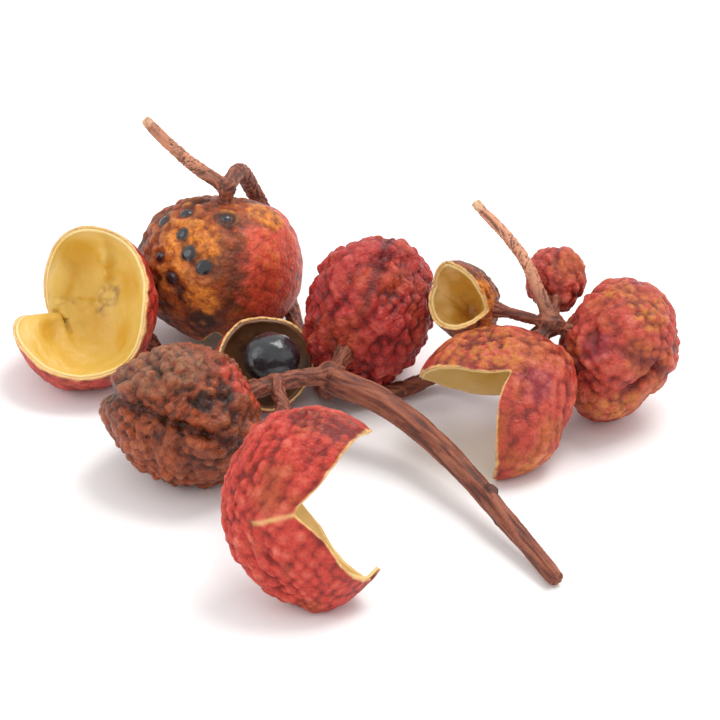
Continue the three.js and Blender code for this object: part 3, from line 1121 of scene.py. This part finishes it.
# Each skin's third colour is its crests', partly own tone and partly painted highlight; its first, the dark tone, is
# also painted shade in the hollows.
PLUM = SkinFinish(
    "dry_plum_skin", "plum_skin", (0.09, 0.008, 0.009), (0.42, 0.028, 0.023), (0.68, 0.13, 0.09),
    (0.44, 0.055, 0.022), patch_share=0.35,
)
DARK = SkinFinish(
    "dry_dark_skin", "dark_skin", (0.028, 0.009, 0.005), (0.23, 0.046, 0.014), (0.52, 0.17, 0.060),
    (0.34, 0.062, 0.014), blush=(0.50, 0.055, 0.028), accent=(0.26, 0.105, 0.050), roughness=0.3,
)
RED = SkinFinish(
    "dry_red_skin", "red_skin", (0.17, 0.010, 0.007), (0.55, 0.044, 0.027), (0.82, 0.21, 0.14),
    (0.46, 0.075, 0.026), patch_share=0.28, accent=(0.30, 0.065, 0.038),
)
ROSE = SkinFinish(
    "dry_rose_skin", "red_skin", (0.14, 0.013, 0.010), (0.48, 0.055, 0.034), (0.74, 0.20, 0.13),
    (0.48, 0.10, 0.026), patch_share=0.36, accent=(0.56, 0.17, 0.030),
)
RUST = SkinFinish(
    "dry_rust_skin", "rust_skin", (0.040, 0.011, 0.006), (0.36, 0.070, 0.015), (0.82, 0.30, 0.05),
    (0.15, 0.038, 0.015), patch_share=0.45, patch_size=1.2, blush=(0.64, 0.080, 0.040),
    accent=(0.74, 0.22, 0.020),
)
# A darker lining for the small star husk: its ochre, painted shade in its deep hollow, is deeper, and its pale is
# darker too.
DEEP_LINING = LiningFinish("deep_lining", pale=(0.62, 0.34, 0.05), ochre=(0.36, 0.13, 0.012))
# The seed husk's lining sits in the dark gap behind the fork: brownish as an old lining, and darkened much further as
# painted shade of that gap.
GAP_SHADED_LINING = LiningFinish(
    "gap_shaded_lining", pale=(0.11, 0.045, 0.016), ochre=(0.045, 0.018, 0.008), cream=(0.18, 0.075, 0.03),
)

FORK: Point = (-1.7, 10.9, 2.5)
LEFT_NODE: Point = (-3.9, 9.95, 2.75)
TOP_NODE: Point = (-5.9, 18.6, 6.6)
HUB: Point = (7.0, 12.0, 4.25)
BACK_WAY: list[Point] = [
    (-1.95, 12.9, 0.6), (-2.4, 15.0, 0.5), (-3.3, 18.4, 0.75), (-3.9, 21.2, 2.6), (-4.9, 21.7, 4.6), (-5.4, 20.6, 6.15),
]
HUB_WAY: list[Point] = [(-0.9, 12.3, 0.8), (1.1, 13.2, 0.45), (3.2, 14.3, 0.85), (5.6, 13.2, 2.3)]
SPLIT_WAY: list[Point] = [(-3.6, 7.2, 2.9), (-4.6, 3.6, 3.2)]
CUP_WAY: list[Point] = [(-4.9, 10.4, 2.3), (-6.4, 11.1, 1.4), (-8.6, 13.2, 0.55), (-9.0, 15.9, 0.85)]
TWIG_LINE: list[Point] = [
    (7.05, -0.55, 0.38), (6.1, 1.25, 0.62), (4.85, 3.4, 0.98), (3.9, 5.1, 1.25), (2.1, 7.7, 1.75), (0.3, 9.5, 2.2),
    (-1.6, 10.6, 2.5),
]


def husks() -> list[Husk]:
    """List every husk of the sprig."""
    return [
        ClosedHusk(
            "plum_berry", (-0.25, 15.0, 2.95), (0.3, 0.55, 0.8), (1, -0.2, -0.2), (2.5, 2.85, 3.1), 0.4, PLUM,
            wart_count=430, wart_height=0.13, wrinkle_height=0.62, wrinkle_size=0.5, groove=0.1,
        ),
        ClosedHusk(
            "dark_berry", (-7.45, 7.6, 2.75), (-0.35, -0.8, 0.45), (0.3, 0.35, 0.85), (2.65, 3.2, 2.8), 2.3, DARK,
            swell=0.07, wart_count=440, wart_height=0.19, wrinkle_height=0.45, groove=0.3,
            blushing=(Mark((0.81, -0.57, 0.17), 0.42), Mark((0.65, -0.74, -0.2), 0.45)),
            accents=(Mark((0.7, 0.2, 0.65), 0.75), Mark((0.5, 0.6, 0.6), 0.5)),
            dark=(Mark((0.43, -0.47, 0.77), 0.22), Mark((0.55, -0.62, 0.5), 0.2)),
            creases=(Crease(((0.38, -0.1, 0.91), (0.43, -0.47, 0.77), (0.6, -0.72, 0.35)), 0.07, 0.2),),
        ),
        SplitHusk(
            "split_husk", (-2.42, -0.62, 3.75), (0.98, 0.11, 0), (-0.17, 0.41, 0.84), (3.9, 2.15, 3.5), 1.1, RED,
            swell=0.04, tips=(140, 144), notches=(76, 86), powers=(0.42, 0.41), gapes=(6, 13), beak=8.0,
            segments=210, rings=130, wart_count=560, wart_height=0.1, wrinkle_height=0.34, wrinkle_size=0.36,
            crumples=(Mark((0.93, 0.27, 0.1), 0.42, 0.6), Mark((0.8, 0.4, 0.42), 0.4, 0.7)),
            accents=(Mark((0.95, 0.25, 0.05), 0.4, 0.8), Mark((0.8, 0.4, 0.42), 0.4, 0.9)),
            dark=(Mark((-0.66, 0.0, 0.75), 0.3, 1.2),),
            creases=(Crease(((0.72, 0.5, 0.48), (0.62, 0.72, 0.25), (0.5, 0.84, 0.05)), 0.05, 0.14),),
            tears=(Crease(((0.0, 0.98, -0.2), (-0.05, 0.86, -0.5), (-0.09, 0.7, -0.71)), 0.022, 1.0),),
            lumps=(Mark((-0.3, 0.5, -0.8), 0.35, -0.14),),
        ),
        SplitHusk(
            "open_husk", (-11.56, 15.26, 3.1), (0.1, -0.63, 0.82), (0.29, 0.53, 0.83), (3.03, 2.9, 2.9), 3.0, RED,
            tips=(113, 109), notches=(26, 125), powers=(0.96, 0.12), gapes=(4, 10), segments=190, rings=90,
            lining_lumps=(
                Mark((0.86, 0.26, -0.43), 0.4, -0.2), Mark((0.95, -0.12, -0.3), 0.22, 0.2),
                Mark((-0.34, 0.46, -0.82), 0.3, -0.16), Mark((0.30, 0.05, -0.95), 0.4, 0.12),
                Mark((0.66, -0.5, -0.55), 0.34, -0.12),
            ),
            lining_creases=(
                Crease(((0.99, 0.02, 0.1), (0.94, -0.14, -0.3), (0.80, -0.25, -0.55)), 0.07, -0.2),
                Crease(((0.26, 0.62, -0.74), (0.37, 0.19, -0.91), (0.45, -0.17, -0.88)), 0.05, 0.1),
                Crease(((0.10, 0.40, -0.91), (-0.04, 0.28, -0.96), (-0.19, 0.15, -0.97)), 0.045, 0.2),
            ),
            # Painted shade in the lining's dents listed above.
            hollow_shades=(
                Mark((0.86, 0.26, -0.43), 0.45, 1.0), Mark((0.65, -0.70, -0.29), 0.4, 1.0),
                Mark((-0.09, -0.84, -0.53), 0.34, 0.9), Mark((-0.34, 0.46, -0.82), 0.26, 0.7),
            ),
            specks=(
                Mark((0.60, -0.39, -0.70), 0.34), Mark((0.36, -0.33, -0.87), 0.24, 0.9),
                Mark((0.37, 0.19, -0.91), 0.14, 1.0), Mark((-0.10, 0.24, -0.96), 0.12, 1.3),
                Mark((0.26, 0.45, -0.85), 0.1, 0.9), Mark((0.93, -0.05, -0.36), 0.16, 0.8),
            ),
        ),
        PittedHusk(
            "pitted_husk", (-6.2, 18.2, 3.05), (0.08, -0.16, -1), (1, -0.1, 0.08), (3.3, 2.85, 3.15), 4.2, RUST,
            tips=(163, 163), notches=(124, 124), gapes=(3, 3), segments=210, rings=120, wart_height=0.15,
            blushing=(Mark((0.95, 0.3, -0.1), 1.25),),
            accents=(
                Mark((-0.12, 0.99, 0.08), 0.34), Mark((-0.25, 0.75, -0.6), 0.62, 0.8),
                Mark((0.63, 0.18, -0.75), 0.36, 1.2),
            ),
            dark=(Mark((0.2, 0.48, -0.86), 0.24), Mark((-0.15, 0.92, 0.36), 0.24)),
            lumps=(Mark((0.63, 0.18, -0.75), 0.42, 0.34),),
            creases=(
                Crease(((0.26, 0.62, -0.74), (0.34, 0.86, -0.38), (0.3, 0.95, 0.01), (-0.05, 0.93, 0.35)), 0.06, 0.2),
            ),
            gland_marks=(
                Mark((-0.34, 0.60, -0.72), 0.14), Mark((-0.25, 0.81, -0.52), 0.16), Mark((-0.06, 0.93, -0.36), 0.15),
                Mark((-0.32, 0.30, -0.90), 0.13), Mark((-0.48, 0.85, -0.20), 0.12), Mark((-0.62, 0.21, -0.76), 0.12),
                Mark((-0.66, 0.62, -0.42), 0.11), Mark((0.20, 0.48, -0.86), 0.1),
            ),
        ),
        SplitHusk(
            "seed_husk", (-4.33, 12.93, 1.9), (0.35, -0.62, 0.7), (1, 0.4, 0), (2.0, 1.95, 1.95), 5.5, PLUM,
            tips=(94, 97), notches=(84, 84), gapes=(8, 8), segments=120, rings=50, wart_count=180, wart_height=0.1,
            # Its lining is darkened as painted shade of the gap it sits in.
            lining=GAP_SHADED_LINING,
        ),
        ClosedHusk(
            "star_right", (9.65, 12.3, 2.9), (0.85, -0.25, -0.35), (0.3, 0.5, 0.8), (2.95, 2.4, 2.25), 0.9, ROSE,
            swell=0.06, wart_count=340, wart_height=0.1, wrinkle_height=0.36, groove=0.12, segments=170, rings=104,
            creases=(
                Crease(((-0.46, 0.62, -0.63), (-0.6, 0.77, -0.2), (-0.61, 0.71, 0.36), (-0.25, 0.68, 0.7),
                        (0.08, 0.61, 0.79)), 0.07, 0.3),
                Crease(((0.0, 0.9, -0.45), (-0.15, 0.95, -0.25)), 0.12, 0.12),
            ),
            lumps=(Mark((-0.72, 0.45, 0.45), 0.5, 0.16), Mark((-0.25, 0.85, 0.2), 0.5, 0.14)),
            accents=(Mark((0.75, 0.6, 0.2), 0.55), Mark((-0.85, 0.35, 0.4), 0.6), Mark((0.8, 0.45, -0.4), 0.35)),
            blushing=(Mark((-0.15, 0.93, -0.33), 0.42, 0.9),),
        ),
        ClosedHusk(
            "star_back", (7.2, 14.3, 4.95), (0.1, 0.85, 0.5), (1, 0, 0), (1.15, 1.2, 1.35), 1.9, ROSE,
            wart_count=80, wart_height=0.12, wrinkle_height=0.2, groove=0.08, segments=90, rings=54,
        ),
        SplitHusk(
            "star_front", (4.83, 9.5, 2.4), (-0.88, -0.52, -0.46), (0.66, -0.61, -0.49), (2.8, 1.95, 3.2), 2.8, ROSE,
            swell=0.04, tips=(148, 135), notches=(77, 66), powers=(0.12, 0.26), gapes=(17, 12), segments=180,
            rings=100, wart_count=300, wart_height=0.12,
            crumples=(Mark((-0.6, 0.75, -0.2), 0.7, 0.35),),
            accents=(
                Mark((-0.75, 0.6, -0.05), 0.8, 1.2), Mark((-0.3, 0.9, -0.3), 0.45, 0.8), Mark((0.9, 0.1, 0.45), 0.5),
            ),
            blushing=(Mark((0.35, 0.85, -0.4), 0.5, 0.7),),
        ),
        SplitHusk(
            "star_left", (3.5, 13.45, 4.45), (-0.39, -0.32, 0.77), (0.14, 0.26, 0.85), (1.42, 1.42, 1.95), 3.7, RUST,
            swell=0.04, tips=(152, 96), notches=(99, 91), powers=(0.3, 0.3), gapes=(2, 7),
            segments=130, rings=64, wart_count=150, wart_height=0.11, lining_wall=0.2, lining=DEEP_LINING,
            # Painted shade over the deep bottom of the lining.
            hollow_shades=(Mark((0.0, 0.2, -1.0), 1.15, 1.0),),
            accents=(Mark((0.0, -0.9, 0.1), 1.2, 0.9),),
        ),
    ]


def joined(
    found: dict[str, Husk], name: str, start: Point, by: list[Point] | None = None, thickness: float = STALK_THICKNESS
) -> Stem:
    """Run a stalk from a node into the skin of the husk that it carries.

    Args:
        found: The husks by name.
        name: The husk's name.
        start: Where the stalk leaves the twig.
        by: Places on its way.
        thickness: Its thickness.

    Returns:
        The stalk.
    """
    husk, way = found[name], [start, *(by or [])]
    centre = Vector(husk.centre)
    outward = (Vector(way[-1]) - centre).normalized()
    own = husk.place(Vector((0, 0, 0))).to_3x3().inverted() @ outward
    reach = float(np.linalg.norm(husk.ball(np.array([own])), axis=1)[0])
    return Stem([*way, tuple(centre + outward * (reach - STALK_ROOT))], thickness / 2, thickness / 2, flare=0.15)


def twig(found: dict[str, Husk]) -> Twig:
    """Put the twig together from its stalks.

    Args:
        found: The husks by name.

    Returns:
        The twig.
    """
    top_tip, hub_tip = (-9.2, 20.2, 8.8), (4.0, 15.3, 7.9)
    return Twig(
        stems=[
            Stem(TWIG_LINE[::-1], 0.56, 0.33, cut=True),
            Stem([FORK, (-2.9, 10.5, 2.7), LEFT_NODE], 0.36, 0.34),
            Stem([FORK, *BACK_WAY, TOP_NODE], 0.34, 0.32),
            Stem([FORK, *HUB_WAY, HUB], 0.34, 0.32),
            joined(found, "plum_berry", FORK),
            joined(found, "seed_husk", BACK_WAY[1], [(-3.6, 15.7, 0.45)]),
            joined(found, "dark_berry", LEFT_NODE),
            joined(found, "split_husk", LEFT_NODE, SPLIT_WAY),
            joined(found, "open_husk", LEFT_NODE, CUP_WAY),
            joined(found, "pitted_husk", TOP_NODE),
            joined(found, "star_right", HUB),
            joined(found, "star_back", HUB),
            joined(found, "star_front", HUB),
            joined(found, "star_left", HUB, thickness=0.44),
            Stem([TOP_NODE, (-7.45, 19.4, 7.35), top_tip], 0.3, 0.21, pale=0.75, cut=True),
            Stem([HUB, (5.9, 13.65, 6.33), hub_tip], 0.28, 0.19, pale=1.0, cut=True),
        ],
        knobs=[(FORK, 0.62), (LEFT_NODE, 0.44), (TOP_NODE, 0.4), (HUB, 0.52)],
        scars=[((4.55, 4.25, 1.36), 0.3), ((4.95, 3.1, 0.72), 0.27)],
    )


# ---- Table, light and camera


@dataclass
class Studio:
    """A plain pale table under soft light, and the camera at the photograph's angle."""

    target: Point = (-0.57, 11.0, 3.2)
    elevation: float = 32.0
    distance: float = 430.0
    field_width: float = 28.5
    table_width: float = 3.0
    table_drop: float = 0.00002

    def build(self, shift: Vector) -> None:
        """Set the table, the lights and the camera.

        Args:
            shift: From the sprig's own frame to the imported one.
        """
        deselect()
        bpy.ops.mesh.primitive_plane_add(size=self.table_width, location=(0, 0, -self.table_drop))
        table = bpy.context.object
        table.name = "table"
        f = Finish("table_top")
        f.drive("Base Color", f.mixed(f.clouds(40.0, 2.0), (0.93, 0.925, 0.925), (0.95, 0.945, 0.95)))
        f.fix(Roughness=0.7, Specular_IOR_Level=0.2)
        table.data.materials.append(f.material)
        self.light("key", (0.16, 0.12, 0.42), 0.24, 1.25, (1.0, 0.985, 0.96))
        self.light("side", (-0.42, -0.12, 0.26), 0.30, 0.5, (0.96, 0.98, 1.0))
        world = bpy.data.worlds.new("studio")
        world.use_nodes = True
        sky = world.node_tree.nodes["Background"]
        sky.inputs["Color"].default_value = (1.0, 1.0, 1.0, 1)
        sky.inputs["Strength"].default_value = 0.96
        bpy.context.scene.world = world
        bpy.context.scene.view_settings.view_transform = "Standard"
        camera = bpy.data.objects.new("camera", bpy.data.cameras.new("camera"))
        bpy.context.collection.objects.link(camera)
        rise = math.radians(self.elevation)
        aim = (Vector(self.target) + shift) * MM
        back = Vector((0, -math.cos(rise), math.sin(rise))) * (self.distance * MM)
        camera.location = aim + back
        camera.rotation_euler = (-back).to_track_quat("-Z", "Y").to_euler()
        camera.data.sensor_width = 36.0
        camera.data.lens = 36.0 * self.distance / self.field_width
        camera.data.clip_start = 0.01
        bpy.context.scene.camera = camera

    def light(self, name: str, place: Point, size: float, power: float, colour: Colour) -> None:
        """Hang one soft square light that faces the sprig.

        Args:
            name: Its name.
            place: Where it hangs, in metres.
            size: Its width, in metres.
            power: Its power, in watts.
            colour: Its colour.
        """
        data = bpy.data.lights.new(name, "AREA")
        data.size, data.energy, data.color = size, power, colour
        lamp = bpy.data.objects.new(name, data)
        lamp.location = place
        lamp.rotation_euler = (-Vector(place)).to_track_quat("-Z", "Y").to_euler()
        bpy.context.collection.objects.link(lamp)


def main() -> None:
    """Build the sprig piece by piece and set the studio."""
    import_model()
    seed = Seed()
    shift = seed.shift()
    log.info("shift %s", tuple(round(v, 4) for v in shift))
    found = {husk.name: husk for husk in husks()}
    for husk in found.values():
        husk.build(shift)
    seed.build(shift)
    twig(found).build(shift)
    Studio().build(shift)


if __name__ == "__main__":
    main()
